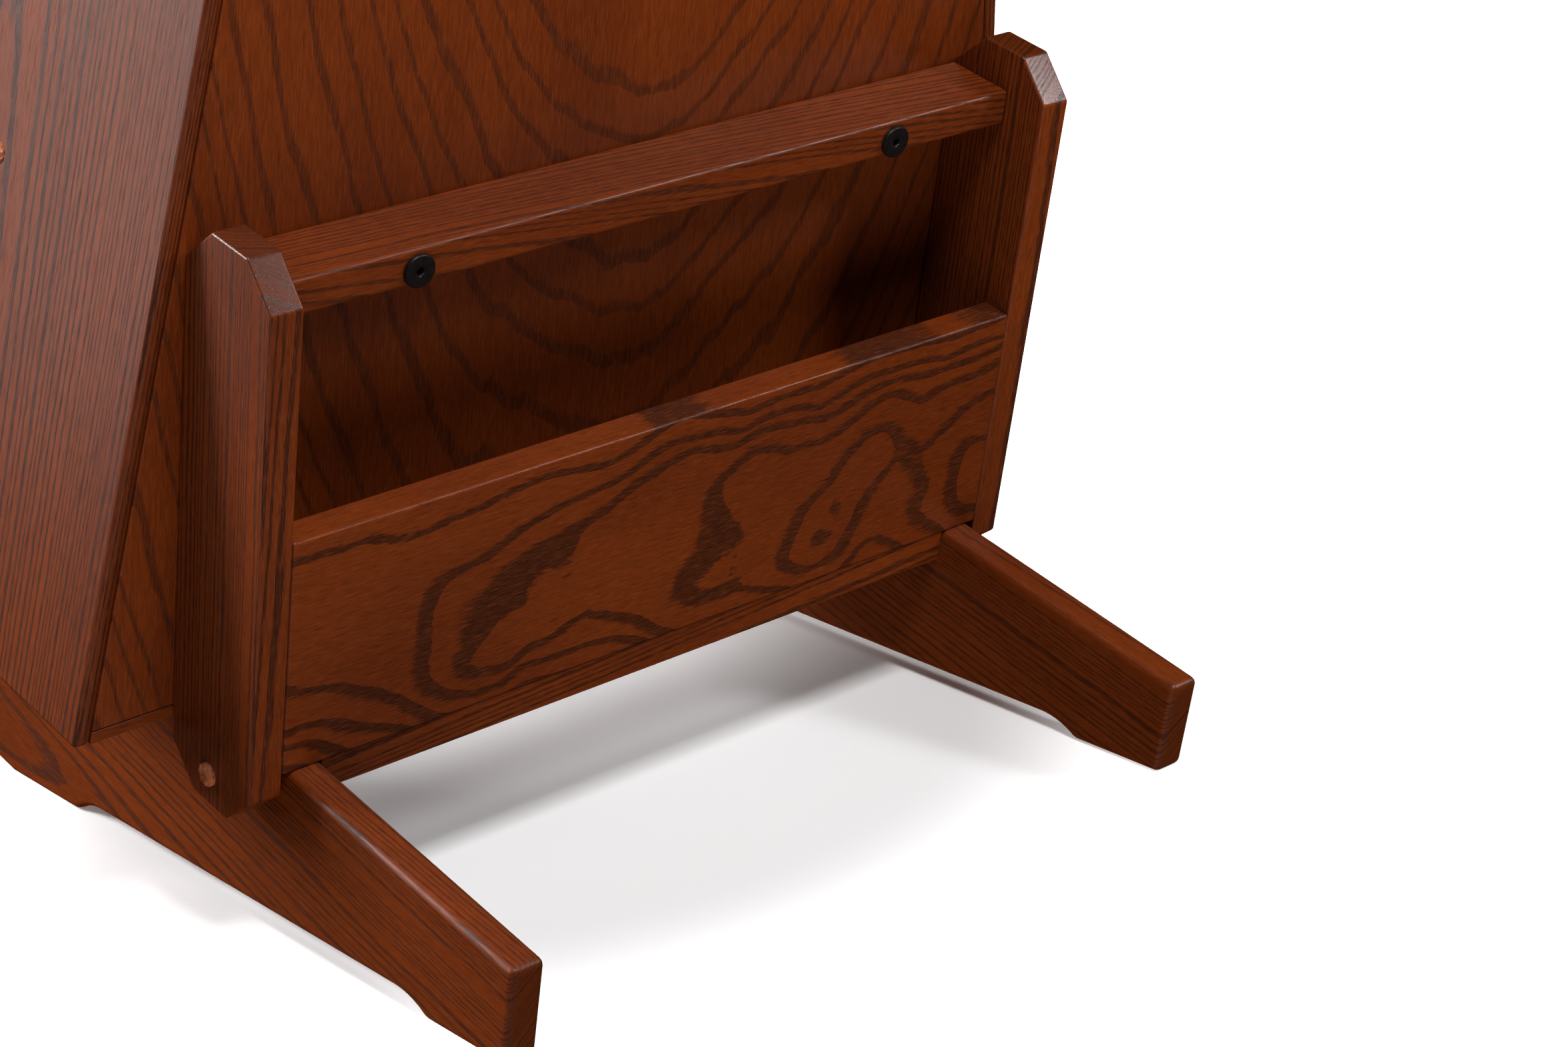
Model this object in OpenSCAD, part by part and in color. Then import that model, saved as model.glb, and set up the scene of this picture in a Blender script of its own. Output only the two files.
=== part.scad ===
// Photo album stand: a tapered cabinet that leans back on two plank feet,
// with a shallow pocket for loose albums behind it.
//
// Row frame: +Z up, floor at z = 0, the pocket faces -Y and the open bays face +Y.
// Most pieces are drawn in the case frame: X across, v = depth away from the
// pocket side, w = up along the posts. module leaned() tips that frame forward.

/* [Cabinet] */
// Outside width of the cabinet at its base
case_w = 602; // [560:1:660]
// Length of the side boards along the lean
case_h = 713; // [640:1:800]
// Depth of the cabinet, from the back panel's face to the open front
case_d = 280; // [250:1:320]
// Angle by which each side closes in towards the top
taper = 9.4; // [6:0.1:11]
// Angle by which the whole cabinet leans back
lean = 13.4; // [8:0.1:15]
// Thickness of the side boards
side_t = 18; // [16:0.5:20]
// Thickness of the bottom board, shelves and top board
shelf_t = 19; // [18:0.5:20]
// Centre of the lower shelf above the cabinet's base
lower_shelf_w = 241; // [238:1:244]
// Thickness of the back panel
panel_t = 6; // [4:0.5:7]
// Width of side board left showing beside the back panel
lip_side = 9; // [8:0.5:10]
// Height of bottom board left showing under the back panel
lip_bottom = 6.5; // [5:0.5:9]

/* [Pocket] */
// Clear width between the two posts
pocket_w = 457; // [420:1:480]
// Depth of the posts, and of the pocket with its front board
post_d = 68; // [64:1:76]
// Thickness of the posts
post_t = 18; // [16:0.5:20]
// Height of the posts above the top edge of the feet
post_top = 272; // [266:1:290]
// Length of post lapped over the outer face of each foot
post_lap = 31; // [28:1:36]
// Corner cut on all four ends of each post
post_chamfer = 20; // [14:1:22]
// Height of the pocket's front board
board_h = 130; // [110:1:140]
// Thickness of the pocket's front board
board_t = 18; // [16:0.5:20]
// Depth of the rail, from the back panel to its front
rail_d = 42; // [36:1:46]
// Height of the rail
rail_h = 19; // [18:0.5:22]
// Thickness of the pocket floor
floor_t = 18.5; // [16:0.5:20]

/* [Feet] */
// Thickness of the foot planks
foot_t = 19; // [18:0.5:22]
// Gap between each foot and the post beside it
foot_gap = 4; // [0:0.5:6]
// Height of a foot's top edge above the ground, under the back panel
foot_top_z = 110; // [105:1:120]
// Reach of the toes in front of the back panel
toe_reach = 245; // [230:1:260]
// Reach of the feet under the cabinet
heel_reach = 240; // [225:1:250]
// Width of the plank that a foot is cut from
plank_w = 158; // [150:1:164]
// Height of the hollow between the two pads of a foot
relief_h = 8; // [5:0.5:10]
// Radius of the sweep at each end of that hollow
relief_r = 45; // [40:1:70]
// Ground distance from the back panel's foot to the front edge of the hollow
relief_front = 164; // [155:1:180]
// Ground distance from the back panel's foot to the rear edge of the hollow
relief_rear = 152; // [130:1:160]

/* [Hardware] */
// Diameter of the wooden pegs
peg_d = 12; // [8:0.5:12]
// Distance that the pegs in the cabinet's sides stand proud
peg_proud = 1.6; // [0.5:0.1:3]
// Distance that the pegs in the posts stand proud
post_peg_proud = 3; // [1:0.1:4]
// Diameter of the hidden dowels
dowel_d = 8; // [6:0.5:9]
// Distance between the two bolts in the rail
bolt_pitch = 297; // [250:1:340]
// Diameter of a bolt's flat head
head_d = 17; // [15:0.5:18]
// Thickness of a bolt's flat head
head_t = 2.4; // [2:0.1:3]
// Diameter of a bolt's shank
bolt_d = 6; // [5:0.5:6]
// Distance across the flats of a bolt's hex socket
socket_af = 4; // [3:0.5:5]

/* [Hidden] */

$fn = 64;
over = 1;

wood = [0.40, 0.18, 0.09];
dark_wood = [0.33, 0.15, 0.08];
peg_wood = [0.60, 0.30, 0.14];
pale_wood = [0.80, 0.64, 0.44];
black_steel = [0.10, 0.09, 0.09];
brass = [0.72, 0.56, 0.28];

half_case = case_w / 2;
half_pocket = pocket_w / 2;
half_foot = half_pocket - foot_gap;    // outer face of each foot
side_tx = side_t / cos(taper);        // side board's thickness measured along X
panel_gap = 0.25;                     // hairline around the back panel
panel_inset = 0.5;                    // back panel's face below the boards' edges
rabbet_d = panel_inset + panel_t;

// The shelves, evenly spaced from the bottom board through the lower shelf.
bottom_w = shelf_t / 2;
shelf_pitch = lower_shelf_w - bottom_w;
upper_shelf_w = lower_shelf_w + shelf_pitch;
top_w = case_h - shelf_t / 2;
SHELF_W = [bottom_w, lower_shelf_w, upper_shelf_w, top_w];

// The row frame's origin is under the middle of the whole object.
toe_y = -toe_reach * cos(lean);
open_y = case_d * cos(lean);
shift_y = -(toe_y + open_y) / 2;

rail_w = lower_shelf_w - rail_h / 2;  // underside of the rail, in line with the shelf
bolt_w = lower_shelf_w - 2;
bolt_hole_d = bolt_d + 0.5;
insert_d = 9;
insert_l = 15;
rail_bolt_l = rail_d + rabbet_d + insert_l;
case_bolt_l = shelf_t + insert_l;
CASE_BOLT_V = [70, 200];
foot_mid_x = half_foot - foot_t / 2;

peg_v = case_d / 2;                   // one peg at the middle of each shelf's end
case_peg_l = 33;
peg_cross = 25;                       // depth at which a peg crosses its shelf's mid-plane
post_peg_u = post_d / 2 - 1;
post_peg_w = -13.5;
post_peg_depth = 15;                  // into the foot
dowel_l = 30;
dowel_in_post = 12;
BOARD_DOWEL_W = [36, 94];
board_dowel_u = post_d - board_t / 2;
rail_dowel_u = rail_d / 2;
FLOOR_DOWEL_U = [14, 54];
floor_front = post_d - 1;

// Half the cabinet's outside width at a height w.
function half_at(w) = half_case - w * tan(taper);

// ---- frames -------------------------------------------------------------

// Tips the case frame towards -Y and stands it at the height of the feet's top edge.
module leaned() {
    translate([0, shift_y, foot_top_z]) rotate([lean, 0, 0]) children();
}

// An outline in X and w, as thick as v1 - v0 along the cabinet's depth.
module slab(v0, v1) {
    translate([0, v1, 0]) rotate([90, 0, 0]) linear_extrude(v1 - v0) children();
}

// The same child on the left (as drawn) and on the right.
module both_sides() {
    children();
    mirror([1, 0, 0]) children();
}

// A cylinder along v, from v0 to v1, at (x, w).
module bar_v(x, w, v0, v1, d) {
    translate([x, v0, w]) rotate([-90, 0, 0]) cylinder(h = v1 - v0, d = d);
}

// A cylinder along X, from x0 to x1, at depth v and height w.
module bar_x(x0, x1, v, w, d) {
    translate([x0, v, w]) rotate([0, 90, 0]) cylinder(h = x1 - x0, d = d);
}

// A cylinder along w, from w0 to w1, at (x, v).
module bar_w(x, v, w0, w1, d) {
    translate([x, v, w0]) cylinder(h = w1 - w0, d = d);
}

// ---- cabinet ------------------------------------------------------------

// Trapezium between heights w0 and w1 whose ends stay `inset` inside the cabinet's sides.
module tapered_outline(w0, w1, inset) {
    polygon([
        [-half_at(w0) + inset, w0], [half_at(w0) - inset, w0],
        [half_at(w1) - inset, w1], [-half_at(w1) + inset, w1]
    ]);
}

// Places a peg's axis square to the left side board's outer face, pointing into the
// cabinet, so that it meets the middle of the shelf at height w.
module at_case_peg(w) {
    face_w = w + peg_cross * sin(taper);
    translate([-half_at(face_w), peg_v, face_w]) rotate([0, 90 + taper, 0]) children();
}

module case_peg_holes() {
    for (w = SHELF_W) at_case_peg(w) translate([0, 0, -over]) cylinder(h = case_peg_l + over, d = peg_d);
}

module side_board() {
    difference() {
        slab(0, case_d) polygon([
            [-half_at(0), 0], [-half_at(0) + side_tx, 0],
            [-half_at(case_h) + side_tx, case_h], [-half_at(case_h), case_h]
        ]);
        // rabbet for the back panel
        slab(-over, rabbet_d) tapered_outline(lip_bottom, case_h - lip_bottom, lip_side);
        // housings for the bottom board, shelves and top board
        for (w = SHELF_W)
            slab(-over, case_d + over) tapered_outline(w - shelf_t / 2, w + shelf_t / 2, lip_side);
        case_peg_holes();
    }
}

module left_side_board() {
    color(wood) leaned() side_board();
}

module right_side_board() {
    color(wood) leaned() mirror([1, 0, 0]) side_board();
}

module back_panel() {
    color(wood) leaned() difference() {
        slab(panel_inset, rabbet_d)
            tapered_outline(lip_bottom + panel_gap, case_h - lip_bottom - panel_gap, lip_side + panel_gap);
        for (s = [-1, 1]) bar_v(s * bolt_pitch / 2, bolt_w, 0, rabbet_d + over, bolt_hole_d);
    }
}

// A board across the cabinet, housed in both sides, with its back edge at v0.
module cross_board(w, v0) {
    difference() {
        slab(v0, case_d) tapered_outline(w - shelf_t / 2, w + shelf_t / 2, lip_side);
        both_sides() case_peg_holes();
    }
}

module case_bolt_holes(d) {
    for (s = [-1, 1], v = CASE_BOLT_V) bar_w(s * foot_mid_x, v, -over, shelf_t + over, d);
}

module bottom_board() {
    color(wood) leaned() difference() {
        cross_board(bottom_w, 0);
        slab(-over, rabbet_d) translate([-half_case, lip_bottom]) square([case_w, shelf_t]);
        case_bolt_holes(bolt_hole_d);
    }
}

module lower_shelf() {
    color(wood) leaned() difference() {
        cross_board(lower_shelf_w, rabbet_d);
        for (s = [-1, 1])
            bar_v(s * bolt_pitch / 2, bolt_w, rabbet_d - over, rabbet_d + insert_l + over, insert_d);
    }
}

module upper_shelf() {
    color(wood) leaned() cross_board(upper_shelf_w, rabbet_d);
}

module top_board() {
    color(wood) leaned() difference() {
        cross_board(top_w, 0);
        slab(-over, rabbet_d)
            translate([-half_case, case_h - lip_bottom - shelf_t]) square([case_w, shelf_t]);
    }
}

// ---- feet ---------------------------------------------------------------

// Hollow between the pads, in world Y and Z: flat on top, with a sweep at each end.
module relief_outline() {
    reach = sqrt(2 * relief_r * relief_h - relief_h * relief_h);
    centre_z = relief_h - relief_r;
    y0 = shift_y - relief_front + reach;
    y1 = shift_y + relief_rear - reach;
    translate([y0, centre_z]) circle(r = relief_r, $fn = 128);
    translate([y1, centre_z]) circle(r = relief_r, $fn = 128);
    translate([y0, centre_z]) square([y1 - y0, relief_r]);
}

// A foot's outline in world Y and Z: a leaned plank, cut off at the ground.
module foot_outline() {
    difference() {
        translate([shift_y, foot_top_z]) rotate(lean)
            translate([-toe_reach, -plank_w]) square([toe_reach + heel_reach, plank_w]);
        translate([-2 * case_d, -case_d]) square([4 * case_d, case_d]);
        relief_outline();
    }
}

module foot() {
    inner_x = -half_foot + foot_t;
    difference() {
        translate([-half_foot, 0, 0]) rotate([90, 0, 90]) linear_extrude(foot_t) foot_outline();
        leaned() {
            bar_x(-half_foot - over, -half_foot + post_peg_depth, -post_peg_u, post_peg_w, peg_d);
            for (u = FLOOR_DOWEL_U)
                bar_x(inner_x - dowel_in_post, inner_x + over, -u, -floor_t / 2, dowel_d);
            for (v = CASE_BOLT_V) bar_w(-foot_mid_x, v, -insert_l - over, over, insert_d);
        }
    }
}

module left_foot() {
    color(dark_wood) foot();
}

module right_foot() {
    color(dark_wood) mirror([1, 0, 0]) foot();
}

// ---- pocket -------------------------------------------------------------

// A post's outline in v and w: a rectangle with its four corners cut.
module post_outline() {
    c = post_chamfer;
    polygon([
        [-post_d, c - post_lap], [c - post_d, -post_lap], [-c, -post_lap], [0, c - post_lap],
        [0, post_top - c], [-c, post_top], [c - post_d, post_top], [-post_d, post_top - c]
    ]);
}

module post() {
    difference() {
        translate([-half_pocket - post_t, 0, 0]) rotate([90, 0, 90]) linear_extrude(post_t) post_outline();
        bar_x(-half_pocket - post_t - over, -half_pocket + over, -post_peg_u, post_peg_w, peg_d);
        for (w = BOARD_DOWEL_W)
            bar_x(-half_pocket - dowel_in_post, -half_pocket + over, -board_dowel_u, w, dowel_d);
        bar_x(-half_pocket - dowel_in_post, -half_pocket + over, -rail_dowel_u, lower_shelf_w, dowel_d);
    }
}

module left_pocket_post() {
    color(wood) leaned() post();
}

module right_pocket_post() {
    color(wood) leaned() mirror([1, 0, 0]) post();
}

// The far ends of the dowels, as holes in the board between two posts or feet.
module dowel_sockets(end_x, v, w) {
    both_sides() bar_x(-end_x - over, -end_x + dowel_l - dowel_in_post, v, w, dowel_d);
}

module pocket_front_board() {
    color(wood) leaned() difference() {
        translate([-half_pocket, -post_d, 0]) cube([pocket_w, board_t, board_h]);
        for (w = BOARD_DOWEL_W) dowel_sockets(half_pocket, -board_dowel_u, w);
    }
}

module pocket_rail() {
    color(wood) leaned() difference() {
        translate([-half_pocket, -rail_d, rail_w]) cube([pocket_w, rail_d, rail_h]);
        dowel_sockets(half_pocket, -rail_dowel_u, lower_shelf_w);
        for (s = [-1, 1]) bar_v(s * bolt_pitch / 2, bolt_w, -rail_d - over, over, bolt_hole_d);
    }
}

module pocket_floor() {
    end_x = half_foot - foot_t;
    color(dark_wood) leaned() difference() {
        translate([-end_x, -floor_front, -floor_t]) cube([2 * end_x, floor_front, floor_t]);
        for (u = FLOOR_DOWEL_U) dowel_sockets(end_x, -u, -floor_t / 2);
    }
}

// ---- hardware -----------------------------------------------------------

// A flat-head connector bolt along +Z, its head below z = 0.
module connector_bolt(shank_l) {
    rim = 0.8;
    difference() {
        union() {
            cylinder(h = shank_l, d = bolt_d);
            translate([0, 0, rim - head_t]) cylinder(h = head_t - rim, d = head_d);
            translate([0, 0, -head_t]) cylinder(h = rim, d1 = head_d - 2 * rim, d2 = head_d);
        }
        translate([0, 0, -head_t - over]) cylinder(h = head_t + 1 + over, d = socket_af / cos(30), $fn = 6);
    }
}

module insert_sleeve() {
    difference() {
        cylinder(h = insert_l, d = insert_d);
        translate([0, 0, -over]) cylinder(h = insert_l + 2 * over, d = bolt_d);
    }
}

module rail_bolts() {
    color(black_steel) leaned() for (s = [-1, 1])
        translate([s * bolt_pitch / 2, -rail_d, bolt_w]) rotate([-90, 0, 0]) connector_bolt(rail_bolt_l);
}

module rail_inserts() {
    color(brass) leaned() for (s = [-1, 1])
        translate([s * bolt_pitch / 2, rabbet_d, bolt_w]) rotate([-90, 0, 0]) insert_sleeve();
}

module case_bolts() {
    color(black_steel) leaned() for (s = [-1, 1], v = CASE_BOLT_V)
        translate([s * foot_mid_x, v, shelf_t]) rotate([180, 0, 0]) connector_bolt(case_bolt_l);
}

module case_inserts() {
    color(brass) leaned() for (s = [-1, 1], v = CASE_BOLT_V)
        translate([s * foot_mid_x, v, 0]) rotate([180, 0, 0]) insert_sleeve();
}

module case_pegs() {
    for (w = SHELF_W)
        at_case_peg(w) translate([0, 0, -peg_proud]) cylinder(h = case_peg_l + peg_proud, d = peg_d);
}

module left_case_pegs() {
    color(peg_wood) leaned() case_pegs();
}

module right_case_pegs() {
    color(peg_wood) leaned() mirror([1, 0, 0]) case_pegs();
}

module post_pegs() {
    outer = half_pocket + post_t + post_peg_proud;
    color(peg_wood) leaned() both_sides()
        bar_x(-outer, -half_foot + post_peg_depth, -post_peg_u, post_peg_w, peg_d);
}

// Dowels in both ends of a board, entering `dowel_in_post` beyond it.
module end_dowels(end_x, v, w) {
    both_sides() bar_x(-end_x - dowel_in_post, -end_x + dowel_l - dowel_in_post, v, w, dowel_d);
}

module front_board_dowels() {
    color(pale_wood) leaned() for (w = BOARD_DOWEL_W) end_dowels(half_pocket, -board_dowel_u, w);
}

module rail_dowels() {
    color(pale_wood) leaned() end_dowels(half_pocket, -rail_dowel_u, lower_shelf_w);
}

module floor_dowels() {
    color(pale_wood) leaned() for (u = FLOOR_DOWEL_U) end_dowels(half_foot - foot_t, -u, -floor_t / 2);
}

left_side_board();
right_side_board();
back_panel();
bottom_board();
lower_shelf();
upper_shelf();
top_board();
left_foot();
right_foot();
left_pocket_post();
right_pocket_post();
pocket_front_board();
pocket_rail();
pocket_floor();
rail_bolts();
rail_inserts();
case_bolts();
case_inserts();
left_case_pegs();
right_case_pegs();
post_pegs();
front_board_dowels();
rail_dowels();
floor_dowels();
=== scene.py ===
"""Photo album stand: ash boards, stained dark and satin-finished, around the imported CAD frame."""
import math

import bmesh
import bpy
import numpy as np
from mathutils import Matrix, Vector, noise


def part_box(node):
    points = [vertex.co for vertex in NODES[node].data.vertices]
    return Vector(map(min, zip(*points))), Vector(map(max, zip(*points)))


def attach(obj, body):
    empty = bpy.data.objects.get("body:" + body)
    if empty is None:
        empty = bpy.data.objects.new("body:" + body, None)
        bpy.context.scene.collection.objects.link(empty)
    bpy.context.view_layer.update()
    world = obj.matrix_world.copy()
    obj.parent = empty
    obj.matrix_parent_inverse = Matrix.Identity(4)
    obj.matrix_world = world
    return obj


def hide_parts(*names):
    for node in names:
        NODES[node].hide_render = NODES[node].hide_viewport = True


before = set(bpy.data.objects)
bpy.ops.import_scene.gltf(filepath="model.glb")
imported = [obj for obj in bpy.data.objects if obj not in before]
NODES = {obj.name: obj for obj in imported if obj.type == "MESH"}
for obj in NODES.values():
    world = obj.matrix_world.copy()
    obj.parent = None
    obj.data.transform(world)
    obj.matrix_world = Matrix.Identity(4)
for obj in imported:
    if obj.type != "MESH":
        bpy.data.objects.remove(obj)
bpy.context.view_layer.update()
MM = 0.001

# ---- the leaning case frame: X across, V away from the pocket side, W up along the posts ------

LEAN = math.radians(13.4)
TAPER = math.radians(9.4)
BOARD_T = 19 * MM

CASE_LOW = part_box("bottom_board")[0]      # the low corner of its box
CASE = (Matrix.Translation((0, CASE_LOW.y + BOARD_T * math.sin(LEAN), CASE_LOW.z))
        @ Matrix.Rotation(LEAN, 4, "X"))
TO_CASE = CASE.inverted()
ACROSS = Vector((1, 0, 0))
BACK = Vector((0, 1, 0))
UP = Vector((0, 0, 1))


def case_box(node):
    """The corners of a CAD node's box in the case frame."""
    points = [TO_CASE @ v.co for v in NODES[node].data.vertices]
    low = Vector(min(p[i] for p in points) for i in range(3))
    high = Vector(max(p[i] for p in points) for i in range(3))
    return low, high


def local_frame(origin, along, normal):
    """A frame in the case frame: x along the grain, z out of the face."""
    side = normal.cross(along)
    m = Matrix((along, side, normal)).transposed().to_4x4()
    m.translation = origin
    return m


# ---- camera and light ------------------------------------------------------------------------

VIEW_AZ = math.radians(-40.34)
VIEW_EL = math.radians(21.25)
VIEW_ROLL = math.radians(-2.35)
VIEW_FROM = Vector((-1.0051, -1.3730, 0.7901))
SENSOR = 36.0             # mm
LENS = 79.15
CLIP_START = 0.05


def add_camera():
    data = bpy.data.cameras.new("camera")
    data.sensor_width = SENSOR
    data.lens = LENS
    data.clip_start = CLIP_START
    camera = bpy.data.objects.new("camera", data)
    bpy.context.scene.collection.objects.link(camera)
    back = Vector((math.sin(VIEW_AZ) * math.cos(VIEW_EL),
                   -math.cos(VIEW_AZ) * math.cos(VIEW_EL),
                   math.sin(VIEW_EL)))
    right = Vector((math.cos(VIEW_AZ), math.sin(VIEW_AZ), 0))
    up = back.cross(right)
    rolled_right = right * math.cos(VIEW_ROLL) + up * math.sin(VIEW_ROLL)
    rolled_up = up * math.cos(VIEW_ROLL) - right * math.sin(VIEW_ROLL)
    m = Matrix((rolled_right, rolled_up, back)).transposed().to_4x4()
    m.translation = VIEW_FROM
    camera.matrix_world = m
    bpy.context.scene.camera = camera


WHITE = (1, 1, 1, 1)
MIDDLE = (0, 0, 0.3)
# name, place, aim, width and height, watts, colour
SOFTBOXES = (
    ("key", (-0.2, -1.1, 2.1), MIDDLE, (0.5, 0.5), 33, (1, 1, 1)),
    ("front_right", (1.35, -1.4, 1.3), MIDDLE, (0.4, 0.4), 17, (0.96, 0.98, 1)),
    ("left_back", (-1.1, 0.75, 0.62), (-0.3, 0, 0.4), (1.0, 1.15), 3.8, (1, 1, 1)),
    ("left_high", (-1.4, 1.6, 1.3), MIDDLE, (0.7, 0.7), 68, (1, 1, 1)),
    ("behind", (0.5, 2.3, 1.4), MIDDLE, (1.4, 1.2), 45, (1, 1, 1)),
)

# The world is dim but for a lobe of light from the left, in front and below, as off a pale floor
WORLD = 0.02
BOUNCE = 1.3
BOUNCE_FROM = (-0.35, -0.48, -0.80)
BOUNCE_EDGE, BOUNCE_CORE = 0.55, 0.9      # along BOUNCE_FROM, where the lobe starts and is full

# The floor's emission is painted light: a glow whitens it beyond the stand's footprint, while inside the
# footprint it stays dim and shows the shadows
FLOOR_REACH = 30
FLOOR_RIM = 15                            # height of its upturned far rim
RIM_SPREAD = 1.2                          # the rim's reach against the floor's
PAPER = (0.97, 0.97, 0.97, 1)
DIM = 0.03
GLOW = 0.95
FOOTPRINT = (2.6, 3.4, 1)                 # scales the distance from the middle in x and y
GLOW_START, GLOW_FULL = 0.6, 1.15         # at these scaled distances


def softbox(name, at, aim, size, watts, colour):
    data = bpy.data.lights.new(name, "AREA")
    data.shape = "RECTANGLE"
    data.size, data.size_y = size
    data.energy = watts
    data.color = colour
    light = bpy.data.objects.new(name, data)
    light.location = at
    light.rotation_euler = (Vector(aim) - Vector(at)).to_track_quat("-Z", "Y").to_euler()
    light.visible_camera = False
    bpy.context.scene.collection.objects.link(light)


def add_world():
    world = bpy.data.worlds.new("studio")
    world.use_nodes = True
    nodes, links = world.node_tree.nodes, world.node_tree.links
    backdrop = nodes["Background"]
    backdrop.inputs["Color"].default_value = WHITE
    direction = nodes.new("ShaderNodeTexCoord")
    toward = nodes.new("ShaderNodeVectorMath")
    toward.operation = "DOT_PRODUCT"
    toward.inputs[1].default_value = BOUNCE_FROM
    links.new(direction.outputs["Generated"], toward.inputs[0])
    rise = nodes.new("ShaderNodeMapRange")
    rise.interpolation_type = "SMOOTHSTEP"
    rise.inputs["From Min"].default_value = BOUNCE_EDGE
    rise.inputs["From Max"].default_value = BOUNCE_CORE
    rise.inputs["To Min"].default_value = WORLD
    rise.inputs["To Max"].default_value = WORLD + BOUNCE
    links.new(toward.outputs["Value"], rise.inputs["Value"])
    links.new(rise.outputs[0], backdrop.inputs["Strength"])
    world.cycles_visibility.glossy = False
    bpy.context.scene.world = world


def add_floor():
    square = ((-1, -1), (1, -1), (1, 1), (-1, 1))
    rim_reach = RIM_SPREAD * FLOOR_REACH
    flat = [(FLOOR_REACH * x, FLOOR_REACH * y, 0) for x, y in square]
    rim = [(rim_reach * x, rim_reach * y, FLOOR_RIM) for x, y in square]
    sides = [(4 + i, 4 + (i + 1) % 4, (i + 1) % 4, i) for i in range(4)]
    mesh = bpy.data.meshes.new("floor")
    mesh.from_pydata(flat + rim, [], [(0, 1, 2, 3)] + sides)
    floor = bpy.data.objects.new("floor", mesh)
    bpy.context.scene.collection.objects.link(floor)
    floor.visible_glossy = False
    floor.visible_diffuse = False
    floor.visible_shadow = False
    paper = Tree("floor_paper_painted_glow")
    shader = paper.shader
    spot = paper.nodes.new("ShaderNodeTexCoord").outputs["Object"]
    reach = paper.node("ShaderNodeVectorMath", {"operation": "LENGTH"})
    paper.link(paper.mapped(spot, FOOTPRINT), reach.inputs[0])
    # painted glow: the floor emits white beyond the stand's footprint and only dimly inside it
    glow = paper.math("MULTIPLY", paper.steps(reach.outputs["Value"], GLOW_START, GLOW_FULL), GLOW)
    paper.link(paper.math("ADD", glow, DIM), shader.inputs["Emission Strength"])
    shader.inputs["Base Color"].default_value = PAPER
    shader.inputs["Roughness"].default_value = 0.9
    shader.inputs["Specular IOR Level"].default_value = 0.0
    shader.inputs["Emission Color"].default_value = WHITE
    mesh.materials.append(paper.material)


def add_studio():
    add_world()
    for light in SOFTBOXES:
        softbox(*light)
    add_floor()
    bpy.context.scene.view_settings.view_transform = "Standard"


# ---- shader helpers --------------------------------------------------------------------------

class Tree:
    """A material's nodes, built by calls that return the socket they make."""

    def __init__(self, name):
        self.material = bpy.data.materials.new(name)
        self.material.use_nodes = True
        self.nodes = self.material.node_tree.nodes
        self.shader = self.nodes["Principled BSDF"]

    def link(self, source, target):
        if isinstance(source, bpy.types.NodeSocket):
            self.material.node_tree.links.new(source, target)
        else:
            target.default_value = source

    def node(self, kind, settings=(), **inputs):
        made = self.nodes.new(kind)
        for key, value in dict(settings).items():
            setattr(made, key, value)
        for key, value in inputs.items():
            self.link(value, made.inputs[key])
        return made

    def math(self, op, a, b=0.0):
        made = self.nodes.new("ShaderNodeMath")
        made.operation = op
        self.link(a, made.inputs[0])
        self.link(b, made.inputs[1])
        return made.outputs[0]

    def mapped(self, vector, scale, shift=(0, 0, 0)):
        return self.node("ShaderNodeMapping", Vector=vector, Scale=scale, Location=shift).outputs[0]

    def noise(self, vector, scale=1.0, detail=2.0, roughness=0.5):
        return self.node("ShaderNodeTexNoise", Vector=vector, Scale=scale, Detail=detail,
                         Roughness=roughness).outputs["Fac"]

    def swing(self, value, amount):
        """A value from 0 to 1, spread over `amount` round 0."""
        return self.math("MULTIPLY", self.math("SUBTRACT", value, 0.5), amount)

    def steps(self, value, low, high):
        """0 at low, 1 at high, smooth between."""
        made = self.node("ShaderNodeMapRange", {"interpolation_type": "SMOOTHSTEP"}, Value=value)
        made.inputs["From Min"].default_value = low
        made.inputs["From Max"].default_value = high
        return made.outputs[0]

    def mix(self, factor, a, b):
        """Colour a where factor is 0, b where it is 1."""
        made = self.nodes.new("ShaderNodeMix")
        made.data_type = "RGBA"
        self.link(factor, made.inputs[0])
        self.link(a, made.inputs[6])
        self.link(b, made.inputs[7])
        return made.outputs[2]

    def bump(self, height, strength, distance):
        made = self.node("ShaderNodeBump", Height=height, Strength=strength, Distance=distance)
        return made.outputs[0]


def rgb(r, g, b):
    """An sRGB colour, 0 to 255, as linear RGBA."""
    def linear(c):
        c /= 255
        return c / 12.92 if c <= 0.04045 else ((c + 0.055) / 1.055) ** 2.4
    return (linear(r), linear(g), linear(b), 1)


# ---- stained ash -----------------------------------------------------------------------------

GROUND = rgb(120, 50, 12)
TINT = rgb(97, 36, 6)
BAND = rgb(59, 24, 9)
PORE = rgb(34, 14, 7)
PALE = rgb(156, 76, 28)
END_GRAIN = rgb(60, 26, 12)

# Noise scales per metre: along the grain, then across it both ways
FIBRE_SCALE = (45, 900, 900)
BRUSH_SCALE = (55, 900, 900)
HAIR_SCALE = (130, 3200, 3200)
FLECK_SCALE = (150, 520, 520)
PORE_SCALE = (70, 2100, 2100)
BLOTCH_SCALE = (5, 13, 13)
BREADTH_SCALE = (4, 40, 40)
RIPPLE_SCALE = (14, 60, 60)
DRAWN_RIPPLE_SCALE = (110, 300, 300)
YEAR_SCALE = 0.23         # per ring

# How far the rings stray, in ring widths
YEARS = 3.0
RIPPLE = 0.5
DRAWN_RIPPLE = 0.16

# Where a band starts and is full at its open side, in band widths, and at its shut side, in rings
BAND_FADE = (1.22, 0.82)
BAND_SHUT = (1.0, 0.975)
PORES_IN_BANDS = 0.09     # how many more pores there are in the bands


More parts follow.
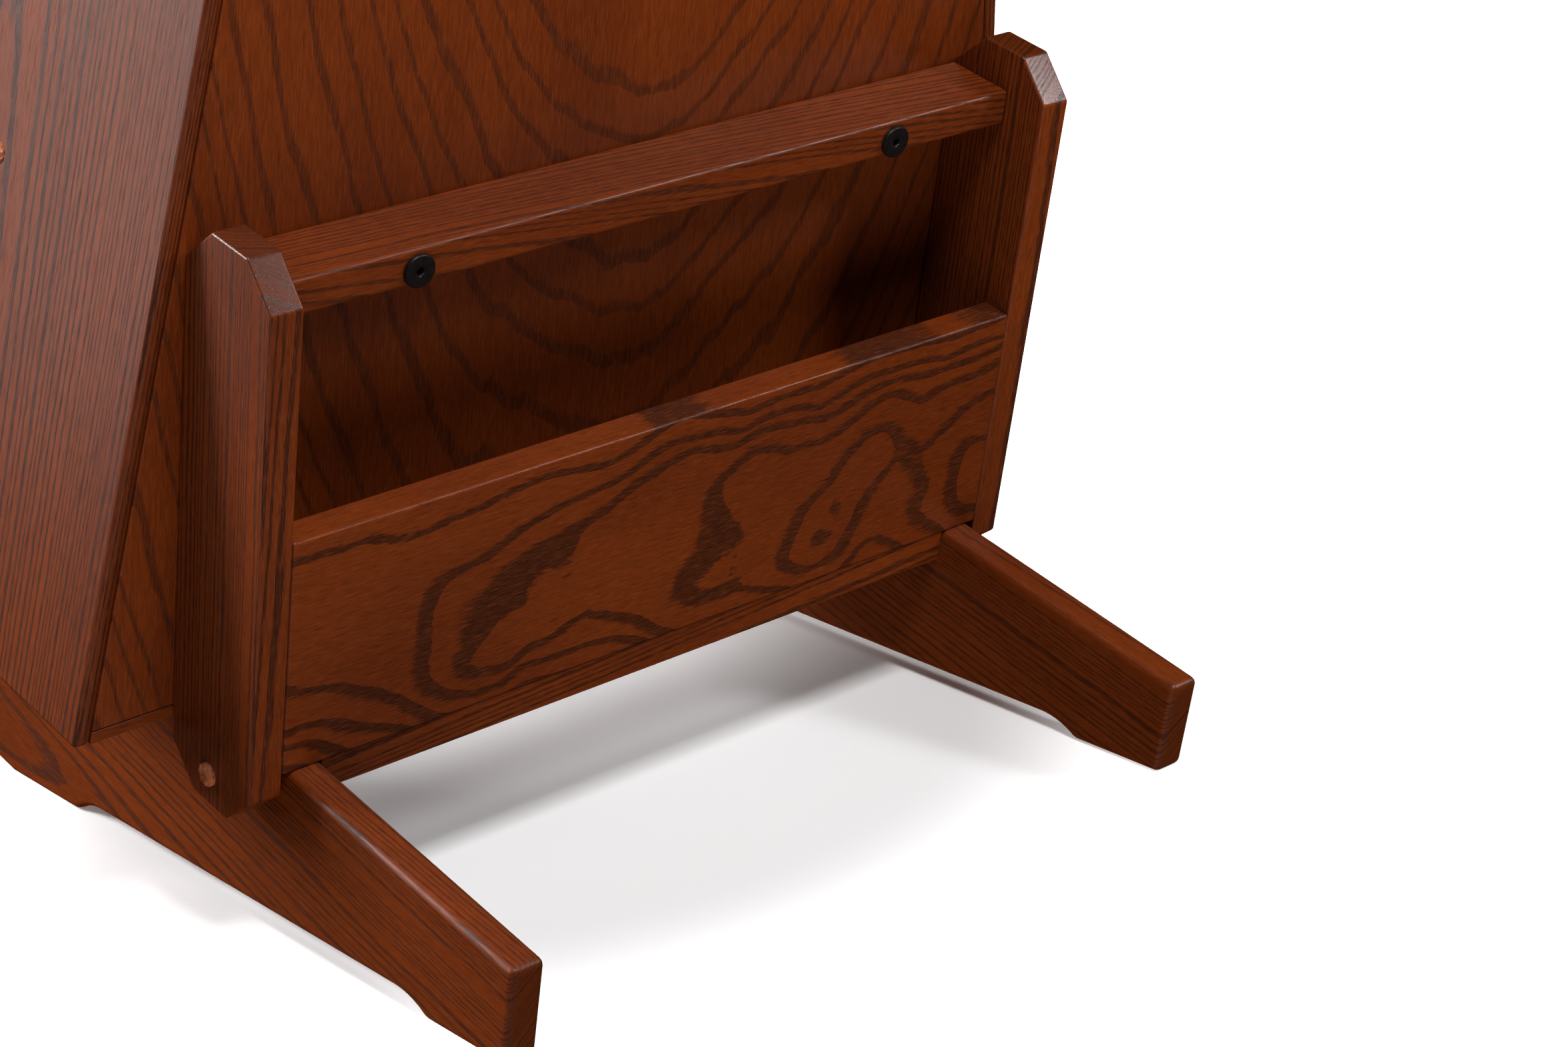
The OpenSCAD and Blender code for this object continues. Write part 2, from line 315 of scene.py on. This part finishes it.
def ash(name, grain, seed, ring=3.0 * MM, centre=0.0, depth=0.1, run=0.0, band=0.36, warp=0.5,
        wave=(2, 9), drawn=False, contrast=1.0, fray=1.5, gloss=0.34, shine=0.32):
    """Stained ash for a board whose grain runs along x of the frame `grain`.

    Rings are `ring` metres apart round a pith at y = centre, `depth` below the face, which the
    board leaves by `run` metres for each metre along it. band is the dark share of each ring,
    warp the wander of the rings in ring widths, and wave its scale along and across the grain.
    fray is how far the fibres brush the bands out, gloss the roughness of clear wood, and shine
    the specular level.
    A drawn board takes both the ring count and the dark share from its mesh instead.
    """
    t = Tree(name)
    tc = t.nodes.new("ShaderNodeTexCoord")
    here = t.node("ShaderNodeMapping", {"vector_type": "TEXTURE"}, Vector=tc.outputs["Object"],
                  Location=grain.translation, Rotation=grain.to_euler()).outputs[0]
    moved = t.mapped(here, (1, 1, 1), (seed * 1.7, seed * 0.9, seed * 1.3))
    fibre = t.noise(t.mapped(moved, FIBRE_SCALE), detail=3.0, roughness=0.65)
    brush = t.noise(t.mapped(moved, BRUSH_SCALE), detail=3.0, roughness=0.6)
    hair = t.noise(t.mapped(moved, HAIR_SCALE), detail=2.0)

    if drawn:
        stored = t.node("ShaderNodeAttribute", {"attribute_name": RING_DATA}).outputs["Vector"]
        phase, share = t.node("ShaderNodeSeparateXYZ", Vector=stored).outputs[:2]
        ripple = t.noise(t.mapped(moved, DRAWN_RIPPLE_SCALE), detail=3.0, roughness=0.6)
        phase = t.math("ADD", phase, t.swing(ripple, DRAWN_RIPPLE))
    else:
        x, y, z = t.node("ShaderNodeSeparateXYZ", Vector=here).outputs
        dy = t.math("SUBTRACT", y, centre)
        dz = t.math("ADD", t.math("ADD", t.math("MULTIPLY", x, run), depth), z)
        square = t.math("ADD", t.math("MULTIPLY", dy, dy), t.math("MULTIPLY", dz, dz))
        phase = t.math("DIVIDE", t.math("SQRT", square), ring)
        years = t.node("ShaderNodeTexNoise", {"noise_dimensions": "1D"}, W=phase,
                       Scale=YEAR_SCALE, Detail=1.0)
        phase = t.math("ADD", phase, t.math("MULTIPLY", years.outputs["Fac"], YEARS))
        slow = t.noise(t.mapped(moved, (wave[0], wave[1], wave[1])), detail=1.5)
        phase = t.math("ADD", phase, t.swing(slow, 2 * warp))
        ripple = t.noise(t.mapped(moved, RIPPLE_SCALE), detail=2.0, roughness=0.6)
        phase = t.math("ADD", phase, t.swing(ripple, RIPPLE))
        breadth = t.noise(t.mapped(moved, BREADTH_SCALE), detail=2.0)
        share = t.math("MULTIPLY", t.math("ADD", breadth, 0.5), band)

    # each ring: a dark band, shut on one side and brushed out along the fibres on the other
    saw = t.math("FRACT", phase)
    back = t.math("DIVIDE", t.math("SUBTRACT", 1.0, saw), share)
    open_side = t.steps(t.math("ADD", back, t.swing(brush, fray)), *BAND_FADE)
    dark = t.math("MULTIPLY", open_side, t.steps(saw, *BAND_SHUT))

    # pores: short dark dashes, crowded in the bands
    cell = t.noise(t.mapped(moved, PORE_SCALE), detail=1.0)
    pore = t.steps(t.math("ADD", cell, t.math("MULTIPLY", dark, PORES_IN_BANDS)), 0.62, 0.74)
    blotch = t.noise(t.mapped(moved, BLOTCH_SCALE), detail=2.5)
    fleck = t.noise(t.mapped(moved, FLECK_SCALE), detail=3.0, roughness=0.7)

    # each layer of colour: where it shows, how strongly, and the colour
    tone = GROUND
    for where, strength, colour in (
            (t.steps(blotch, 0.35, 0.68), 0.80, TINT),
            (t.steps(fleck, 0.42, 0.62), 0.34, TINT),
            (t.steps(fibre, 0.40, 0.72), 0.34, BAND),
            (dark, 0.92 * contrast, BAND),
            (pore, 0.50 * contrast, PORE),
            (t.steps(hair, 0.46, 0.70), 0.30, PALE)):
        tone = t.mix(t.math("MULTIPLY", where, strength), tone, colour)

    # end grain takes more stain, and is sanded smoother
    facing = t.node("ShaderNodeVectorMath", {"operation": "DOT_PRODUCT"})
    t.link(tc.outputs["Normal"], facing.inputs[0])
    t.link(grain.col[0].xyz, facing.inputs[1])
    end = t.steps(t.math("ABSOLUTE", facing.outputs["Value"]), 0.45, 0.85)
    tone = t.mix(t.math("MULTIPLY", end, 0.45), tone, END_GRAIN)
    t.link(tone, t.shader.inputs["Base Color"])

    rough = t.math("ADD", t.math("MULTIPLY", dark, 0.07), gloss)
    rough = t.math("SUBTRACT", rough, t.math("MULTIPLY", end, 0.12))
    rough = t.math("ADD", rough, t.swing(blotch, 0.10))
    t.link(rough, t.shader.inputs["Roughness"])
    t.shader.inputs["Specular IOR Level"].default_value = shine

    grooves = t.math("SUBTRACT", t.math("MULTIPLY", fibre, 0.35),
                     t.math("ADD", pore, t.math("MULTIPLY", dark, 0.25)))
    t.link(t.bump(grooves, 0.35, 0.22 * MM), t.shader.inputs["Normal"])
    return t.material


# ---- the flame figure of the front board -----------------------------------------------------

RING_DATA = "rings"
# Marks along the rings' edges: ring count, then (across, up) in mm from the board's lower middle
RING_MARKS = (
    (0, ((-229, 117), (-185, 116), (-140, 113), (-108, 117), (-80, 120), (-50, 116), (-20, 122), (5, 129),
         (30, 123), (60, 121), (100, 122), (145, 128), (185, 125), (229, 129))),
    (1, ((229, 115), (187, 113), (147, 116), (95, 108), (50, 110), (12, 114), (-29, 106), (-79, 98),
         (-112, 84), (-138, 78), (-144, 68), (-144, 45), (-143, 26), (-123, 12), (-90, 15), (-29, 12),
         (-6, 3))),
    (2, ((229, 110), (187, 107), (147, 110), (92, 102), (55, 105), (12, 107), (-25, 97), (-54, 84),
         (-58, 73), (-82, 66), (-62, 57), (-90, 48), (-113, 36), (-119, 25), (-95, 20), (-75, 26),
         (-26, 25), (-1, 9), (14, 1))),
    (3, ((229, 98), (190, 95), (147, 101), (122, 92), (81, 86), (50, 92), (35, 80), (40, 67), (55, 50),
         (43, 38), (51, 29), (32, 20), (60, 14), (90, 3), (135, 10), (172, 4))),
    (4, ((154, 72), (155, 64), (132, 36), (121, 16), (104, 11), (89, 20), (92, 32), (112, 57), (130, 76),
         (147, 80))),
    (4, ((229, 81), (200, 71), (166, 64), (183, 47), (189, 34), (184, 20), (202, 6))),
    (5, ((229, 51), (213, 50), (209, 34), (214, 17), (229, 12))),
    (0, ((-229, 54), (-204, 45), (-183, 36), (-160, 22), (-134, 2))),
    (-1, ((-229, 26), (-206, 25), (-183, 15), (-154, 2))),
    (-2, ((-229, 18), (-210, 15), (-190, 2))),
    (-0.6, ((-229, 126), (-140, 126), (-60, 128))),
    (0.35, ((-199, 84), (-170, 60), (-158, 74))),
    (1.5, ((-128, 45), (-126, 62), (-100, 77))),
    (2.35, ((-30, 70), (-29, 45), (0, 60))),
    (2.62, ((22, 50), (20, 72))),
    (3.35, ((72, 50), (82, 72))),
    (3.3, ((152, 40), (158, 26), (170, 80))),
    (3.55, ((80, 30),)),
    (4.5, ((118, 46), (112, 26), (141, 68), (202, 35))),
)
# Broad dark patches: across, up, half length and half height in mm, and the share that they add
DARK_PATCHES = ((-92, 62, 46, 26, 0.50), (34, 46, 26, 34, 0.32), (-60, 74, 30, 14, 0.34),
                (118, 43, 5, 5, 1.0), (110, 26, 8, 6, 1.0))
PATCH_REACH = 1.3         # where a patch's share has fallen to none, in half sizes
GIVE = 10.0               # how loosely the surface follows its marks
BAND_ALONG = 11.0         # a band's length along the fibres, and its height across them, in mm
BAND_ACROSS = 4.2
RING_CELL = 4 * MM        # size of the mesh cells that hold the ring count
LEAST_SHARE, MOST_SHARE = 0.08, 0.72


def bend(square):
    """The thin plate's bending term for a squared distance."""
    return square * np.log(square + 1e-9)


class RingSurface:
    """A thin plate through ring marks: the ring count at any point of a board."""

    def __init__(self, marks):
        rows = np.array([(x, y, count) for count, points in marks for x, y in points], float)
        self.at = rows[:, :2]
        n = len(rows)
        gaps = ((self.at[:, None] - self.at[None]) ** 2).sum(-1)
        plane = np.c_[np.ones(n), self.at]
        system = np.block([[bend(gaps) + GIVE * np.eye(n), plane], [plane.T, np.zeros((3, 3))]])
        self.weights = np.linalg.solve(system, np.r_[rows[:, 2], np.zeros(3)])

    def count(self, points):
        n = len(self.at)
        gaps = ((points[:, None] - self.at[None]) ** 2).sum(-1)
        return bend(gaps) @ self.weights[:n] + self.weights[n] + points @ self.weights[n + 1:]

    def share(self, points):
        """The dark share of a ring, from how fast the count climbs and from the dark patches."""
        along = self.count(points + (1, 0)) - self.count(points - (1, 0))
        across = self.count(points + (0, 1)) - self.count(points - (0, 1))
        share = np.hypot(along / 2 * BAND_ALONG, across / 2 * BAND_ACROSS)
        for x, y, length, height, extra in DARK_PATCHES:
            far = np.hypot((points[:, 0] - x) / length, (points[:, 1] - y) / height)
            share = share + extra * np.clip(PATCH_REACH - far, 0, 1)
        return np.clip(share, LEAST_SHARE, MOST_SHARE)


def draw_rings(mesh, marks):
    """Cuts a flat board into small cells and stores its ring count and dark share in them."""
    bm = bmesh.new()
    bm.from_mesh(mesh)
    low = [min(v.co[i] for v in bm.verts) for i in range(2)]
    high = [max(v.co[i] for v in bm.verts) for i in range(2)]
    for axis, normal in enumerate((Vector((1, 0, 0)), Vector((0, 1, 0)))):
        cells = round((high[axis] - low[axis]) / RING_CELL)
        for n in range(1, cells):
            cut = normal * (low[axis] + (high[axis] - low[axis]) * n / cells)
            everything = bm.verts[:] + bm.edges[:] + bm.faces[:]
            bmesh.ops.bisect_plane(bm, geom=everything, plane_co=cut, plane_no=normal,
                                   dist=0.001 * MM)
    bm.to_mesh(mesh)
    bm.free()
    places = np.array([(v.co.x, v.co.y - low[1]) for v in mesh.vertices]) / MM      # in mm
    surface = RingSurface(marks)
    values = np.zeros((len(places), 3), np.float32)
    values[:, 0] = surface.count(places)
    values[:, 1] = surface.share(places)
    stored = mesh.attributes.new(RING_DATA, "FLOAT_VECTOR", "POINT")
    stored.data.foreach_set("vector", values.ravel())


def peg_end(name, seed):
    """Lighter end grain of a peg: torn fibres, orange-brown with dark pores."""
    t = Tree(name)
    here = t.nodes.new("ShaderNodeTexCoord").outputs["Object"]
    moved = t.mapped(here, (1, 1, 1), (seed, seed * 2, seed * 3))
    grain = t.noise(moved, scale=900, detail=3.0, roughness=0.7)
    patch = t.noise(moved, scale=260, detail=2.0)
    tone = t.mix(t.steps(patch, 0.35, 0.7), rgb(186, 100, 56), rgb(124, 54, 22))
    tone = t.mix(t.math("MULTIPLY", t.steps(grain, 0.52, 0.72), 0.6), tone, rgb(58, 26, 13))
    t.link(tone, t.shader.inputs["Base Color"])
    t.shader.inputs["Roughness"].default_value = 0.55
    t.link(t.bump(grain, 0.6, 0.0005), t.shader.inputs["Normal"])
    return t.material


def bare_wood(name):
    t = Tree(name)
    here = t.nodes.new("ShaderNodeTexCoord").outputs["Object"]
    grain = t.noise(t.mapped(here, (30, 900, 900)), detail=3.0)
    t.link(t.mix(grain, rgb(226, 192, 140), rgb(190, 148, 96)), t.shader.inputs["Base Color"])
    t.shader.inputs["Roughness"].default_value = 0.6
    return t.material


def black_steel(name):
    t = Tree(name)
    here = t.nodes.new("ShaderNodeTexCoord").outputs["Object"]
    wear = t.noise(here, scale=420, detail=3.0)
    t.link(t.mix(wear, rgb(30, 25, 24), rgb(52, 44, 42)), t.shader.inputs["Base Color"])
    t.shader.inputs["Metallic"].default_value = 0.65
    t.link(t.math("ADD", t.math("MULTIPLY", wear, 0.18), 0.30), t.shader.inputs["Roughness"])
    t.link(t.bump(t.noise(here, scale=2600, detail=1.0), 0.12, 0.0001), t.shader.inputs["Normal"])
    return t.material


def plain_brass(name):
    t = Tree(name)
    here = t.nodes.new("ShaderNodeTexCoord").outputs["Object"]
    wear = t.noise(here, scale=300, detail=3.0)
    t.link(t.mix(wear, rgb(214, 178, 96), rgb(176, 138, 62)), t.shader.inputs["Base Color"])
    t.shader.inputs["Metallic"].default_value = 1.0
    t.link(t.math("ADD", t.math("MULTIPLY", wear, 0.2), 0.25), t.shader.inputs["Roughness"])
    return t.material


# ---- boards ----------------------------------------------------------------------------------

HOLE_SPAN = 24 * MM       # loops of edges smaller than this are the rims of drilled holes
SHARP = math.radians(25)  # edges that turn more than this are rounded
FLAT = math.radians(0.4)  # faces that turn less than this are one face
CREASE = math.radians(40)


def outer_edges(bm):
    """The convex edges of a board, without the rims of its drilled holes."""
    sharp = [e for e in bm.edges if e.is_manifold and e.is_convex and e.calc_face_angle() > SHARP]
    left = dict.fromkeys(sharp)
    kept = []
    while left:
        loop = [left.popitem()[0]]
        for edge in loop:
            for near in (e for vert in edge.verts for e in vert.link_edges):
                if near in left:
                    del left[near]
                    loop.append(near)
        points = [v.co for e in loop for v in e.verts]
        span = max(max(p[i] for p in points) - min(p[i] for p in points) for i in range(3))
        if span > HOLE_SPAN:
            kept += loop
    return kept


def show(name, mesh, node):
    """Puts a mesh made in the row frame in the scene, in place of a CAD node."""
    piece = bpy.data.objects.new(name, mesh)
    bpy.context.scene.collection.objects.link(piece)
    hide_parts(node)
    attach(piece, "root")
    return piece


def board(node, slot, along, normal, radius, marks=(), segments=4, **look):
    """Replaces a CAD board by the same board with rounded edges and its own grain."""
    low, high = case_box(node)
    grain = CASE @ local_frame((low + high) / 2, along, normal)
    mesh = NODES[node].data.copy()
    mesh.name = "board_" + node
    mesh.transform(grain.inverted())
    mesh.materials.clear()
    mesh.materials.append(ash("ash_" + node, grain, drawn=bool(marks), **look))
    bm = bmesh.new()
    bm.from_mesh(mesh)
    bmesh.ops.remove_doubles(bm, verts=bm.verts, dist=0.01 * MM)
    bmesh.ops.dissolve_limit(bm, angle_limit=FLAT, verts=bm.verts, edges=bm.edges)
    bmesh.ops.recalc_face_normals(bm, faces=bm.faces)
    bmesh.ops.bevel(bm, geom=outer_edges(bm), offset=radius, offset_type="OFFSET",
                    segments=segments, profile=0.5, affect="EDGES", clamp_overlap=False)
    for face in bm.faces:
        face.smooth = True
    bm.to_mesh(mesh)
    bm.free()
    if marks:
        draw_rings(mesh, marks)
    mesh.transform(grain)
    mesh.set_sharp_from_angle(angle=CREASE)
    piece = show(node + "_wood", mesh, node)
    even = piece.modifiers.new("even_normals", "WEIGHTED_NORMAL")
    even.weight = 100
    even.keep_sharp = True


def build_boards():
    up_left = Vector((math.sin(TAPER), 0, math.cos(TAPER)))
    out_left = Vector((-math.cos(TAPER), 0, math.sin(TAPER)))
    up_right = Vector((-up_left.x, 0, up_left.z))
    out_right = Vector((-out_left.x, 0, out_left.z))
    front = -BACK
    side = {"band": 0.34, "warp": 1.2, "wave": (1.2, 7), "contrast": 1.1, "fray": 1.1, "shine": 0.5}
    board("left_side_board", "case_board", up_left, out_left, 3.0 * MM, seed=1.1,
          ring=2.0 * MM, centre=0.01, depth=0.16, run=0.01, **side)
    board("right_side_board", "case_board", up_right, out_right, 3.0 * MM, seed=2.3,
          ring=2.4 * MM, centre=0.02, depth=0.15, run=0.02, **side)
    board("back_panel", "panel_veneer", UP, front, 0.8 * MM, segments=3, seed=3.7,
          ring=12 * MM, centre=-0.015, depth=0.153, run=-0.33, band=0.22, warp=0.8,
          contrast=0.62, fray=0.7)
    board("bottom_board", "case_board", ACROSS, UP, 1.0 * MM, seed=4.2,
          ring=4 * MM, centre=0.10, depth=0.06, run=0.05, warp=0.8)
    board("lower_shelf", "case_board", ACROSS, UP, 1.2 * MM, seed=5.9,
          ring=7 * MM, centre=0.02, depth=0.06, run=0.09, warp=0.8)
    board("upper_shelf", "case_board", ACROSS, UP, 1.2 * MM, seed=6.4,
          ring=6 * MM, centre=-0.05, depth=0.06, run=0.08, warp=0.8)
    board("top_board", "case_board", ACROSS, UP, 2.0 * MM, seed=7.8,
          ring=7 * MM, centre=0.01, depth=0.05, run=0.10, warp=0.9)
    foot = {"band": 0.3, "warp": 0.9, "wave": (1.5, 8), "contrast": 0.85, "gloss": 0.4}
    board("left_foot", "foot_plank", front, -ACROSS, 4.0 * MM, seed=8.3,
          ring=2.6 * MM, centre=-0.05, depth=0.10, run=0.03, **foot)
    board("right_foot", "foot_plank", front, -ACROSS, 4.0 * MM, seed=9.6,
          ring=2.8 * MM, centre=-0.06, depth=0.09, run=0.03, **foot)
    post = {"depth": 0.06, "run": 0.03, "band": 0.36, "warp": 0.8, "wave": (1.5, 9), "shine": 0.5}
    board("left_pocket_post", "pocket_board", UP, -ACROSS, 1.4 * MM, seed=10.2,
          ring=2.5 * MM, centre=0.11, **post)
    board("right_pocket_post", "pocket_board", UP, ACROSS, 1.4 * MM, seed=11.5,
          ring=2.7 * MM, centre=-0.12, **post)
    board("pocket_front_board", "pocket_board", ACROSS, front, 1.6 * MM, marks=RING_MARKS, seed=12.7)
    board("pocket_rail", "pocket_board", ACROSS, UP, 2.2 * MM, seed=13.1,
          ring=3 * MM, centre=-0.10, depth=0.06, run=0.12, warp=0.7, contrast=0.85)
    board("pocket_floor", "foot_plank", ACROSS, front, 1.2 * MM, seed=14.9,
          ring=3.5 * MM, centre=0.08, depth=0.05, run=0.05, warp=0.6)


# ---- lathed pieces ---------------------------------------------------------------------------

TURN = 48                 # points round a ring
LATHE_CREASE = math.radians(35)

# Bolts
HEAD_T = 2.4 * MM
HEAD_R = 8.5 * MM
HEAD_RIM = 0.8 * MM       # rounding of the head's upper edge
HEAD_FOOT = 0.3 * MM      # bevel of its lower edge
RIM_STEPS = 4
SHANK_R = 3 * MM
TIP = 0.5 * MM            # bevel of the shank's tip
HEX_APOTHEM = 2 * MM
HEX_DEPTH = 3.2 * MM

# Pegs: how much their ends are crowned, and torn by coarse and by fine fibres
CROWN = 1.0 * MM
CROWN_ROWS = 9
TEAR_SINK = 0.5 * MM
TEAR = 0.75 * MM
TEAR_SCALE = 700
FINE_TEAR = 0.40 * MM
FINE_TEAR_SCALE = 2400


def islands(node):
    """The separate solids of a CAD node, each as its points in the case frame."""
    bm = bmesh.new()
    bm.from_mesh(NODES[node].data)
    bmesh.ops.remove_doubles(bm, verts=bm.verts, dist=0.001 * MM)
    left = dict.fromkeys(bm.verts)
    solids = []
    while left:
        group = [left.popitem()[0]]
        for vert in group:
            for near in (e.other_vert(vert) for e in vert.link_edges):
                if near in left:
                    del left[near]
                    group.append(near)
        solids.append([TO_CASE @ v.co for v in group])
    bm.free()
    return sorted(solids, key=lambda points: [round(c, 4) for c in sum(points, Vector()) / len(points)])


def extent(points, axis):
    """Where a solid starts and ends along an axis, and the middle of its cross-section there."""
    reach = [p.dot(axis) for p in points]
    low, high = min(reach), max(reach)
    middle = sum(points, Vector()) / len(points)
    on_axis = middle - axis * middle.dot(axis)
    return on_axis, low, high


def loft(bm, rings):
    """Closed mesh through rings of TURN points; the first and last are capped."""
    loops = [[bm.verts.new(p) for p in ring] for ring in rings]
    for a, b in zip(loops, loops[1:]):
        for i in range(TURN):
            j = (i + 1) % TURN
            bm.faces.new((a[i], a[j], b[j], b[i]))
    bm.faces.new(list(reversed(loops[0])))
    bm.faces.new(loops[-1])


def circle(radius, z):
    return [Vector((radius * math.cos(a), radius * math.sin(a), z))
            for a in (math.tau * i / TURN for i in range(TURN))]


def hexagon(apothem, z):
    ring = []
    for i in range(TURN):
        a = math.tau * i / TURN
        off = (a + math.pi / 6) % (math.pi / 3) - math.pi / 6
        radius = apothem / math.cos(off)
        ring.append(Vector((radius * math.cos(a), radius * math.sin(a), z)))
    return ring


def turned(name, meshes, node, material):
    """One object made of several lathed solids, each given as (rings, matrix in the case frame)."""
    bm = bmesh.new()
    for rings, place in meshes:
        part = bmesh.new()
        loft(part, rings)
        bmesh.ops.recalc_face_normals(part, faces=part.faces)
        part.transform(place)
        spare = bpy.data.meshes.new("spare")
        part.to_mesh(spare)
        part.free()
        bm.from_mesh(spare)
        bpy.data.meshes.remove(spare)
    mesh = bpy.data.meshes.new(name)
    for face in bm.faces:
        face.smooth = True
    bm.to_mesh(mesh)
    bm.free()
    mesh.set_sharp_from_angle(angle=LATHE_CREASE)
    mesh.materials.append(material)
    mesh.transform(CASE)
    show(name, mesh, node)


def stood(axis, on_axis, high):
    """Places a lathed solid's z axis along `axis`, its z = 0 at `high` along it."""
    turn = axis.to_track_quat("Z", "Y").to_matrix().to_4x4()
    return Matrix.Translation(on_axis + axis * high) @ turn


def bolt_rings(length):
    """A flat-head bolt along z with its head's top at z = 0 and its tip at z = -length."""
    rings = [circle(0.6 * SHANK_R, -length), circle(SHANK_R - TIP, -length),
             circle(SHANK_R, -length + TIP), circle(SHANK_R, -HEAD_T),
             circle(HEAD_R - HEAD_FOOT, -HEAD_T), circle(HEAD_R, -HEAD_T + HEAD_FOOT)]
    for i in range(RIM_STEPS + 1):
        a = math.pi / 2 * i / RIM_STEPS
        rings.append(circle(HEAD_R - HEAD_RIM + HEAD_RIM * math.cos(a),
                            -HEAD_RIM + HEAD_RIM * math.sin(a)))
    rings += [circle(HEX_APOTHEM + 1.1 * MM, 0.0), circle(HEX_APOTHEM + 0.7 * MM, -0.05 * MM),
              hexagon(HEX_APOTHEM + 0.15 * MM, -0.35 * MM), hexagon(HEX_APOTHEM, -0.7 * MM),
              hexagon(HEX_APOTHEM, -HEX_DEPTH), circle(0.5 * HEX_APOTHEM, -HEX_DEPTH - 0.5 * MM)]
    return rings


def build_bolts():
    steel = black_steel("black_oxide")
    for node, axis in (("rail_bolts", -BACK), ("case_bolts", UP)):
        bolts = []
        for points in islands(node):
            on_axis, low, high = extent(points, axis)
            bolts.append((bolt_rings(high - low), stood(axis, on_axis, high)))
        turned(node + "_steel", bolts, node, steel)


def peg_rings(length, radius, seed):
    """A peg along z with a torn, slightly crowned end at z = 0."""
    rings = [circle(0.8 * radius, -length), circle(radius, -length + 0.8 * MM),
             circle(radius, -1.6 * MM)]
    for i in range(CROWN_ROWS):
        a = math.pi / 2 * (i + 1) / (CROWN_ROWS + 0.6)
        ring = circle(radius * math.cos(a) ** 0.45, -CROWN * (1 - math.sin(a)))
        for p in ring:
            spot = Vector((p.x, p.y, seed * MM))
            coarse = noise.noise(spot * TEAR_SCALE)
            fine = noise.noise(spot * FINE_TEAR_SCALE)
            p.z += TEAR * coarse + FINE_TEAR * fine - TEAR_SINK
        rings.append(ring)
    return rings


def build_pegs():
    wood = peg_end("peg_end_grain", 0.37)
    # the post pegs lie straight across, each towards its own side
    outward = {"left_case_pegs": Vector((-math.cos(TAPER), 0, math.sin(TAPER))),
               "right_case_pegs": Vector((math.cos(TAPER), 0, math.sin(TAPER))),
               "post_pegs": None}
    for node, out in outward.items():
        pegs = []
        for n, points in enumerate(islands(node)):
            side = -1 if sum(p.x for p in points) < 0 else 1
            axis = out or ACROSS * side
            on_axis, low, high = extent(points, axis)
            radius = max((p - on_axis - axis * p.dot(axis)).length for p in points)
            rings = peg_rings(high - low, radius, 3.1 * n + 7 * side)
            pegs.append((rings, stood(axis, on_axis, high)))
        turned(node + "_wood", pegs, node, wood)


def dress_hidden():
    """Pieces inside the joints keep their CAD shape."""
    beech = bare_wood("beech_dowel")
    brass = plain_brass("insert_brass")
    for node in ("front_board_dowels", "rail_dowels", "floor_dowels"):
        NODES[node].data.materials.clear()
        NODES[node].data.materials.append(beech)
    for node in ("rail_inserts", "case_inserts"):
        NODES[node].data.materials.clear()
        NODES[node].data.materials.append(brass)


add_camera()
add_studio()
build_boards()
build_bolts()
build_pegs()
dress_hidden()
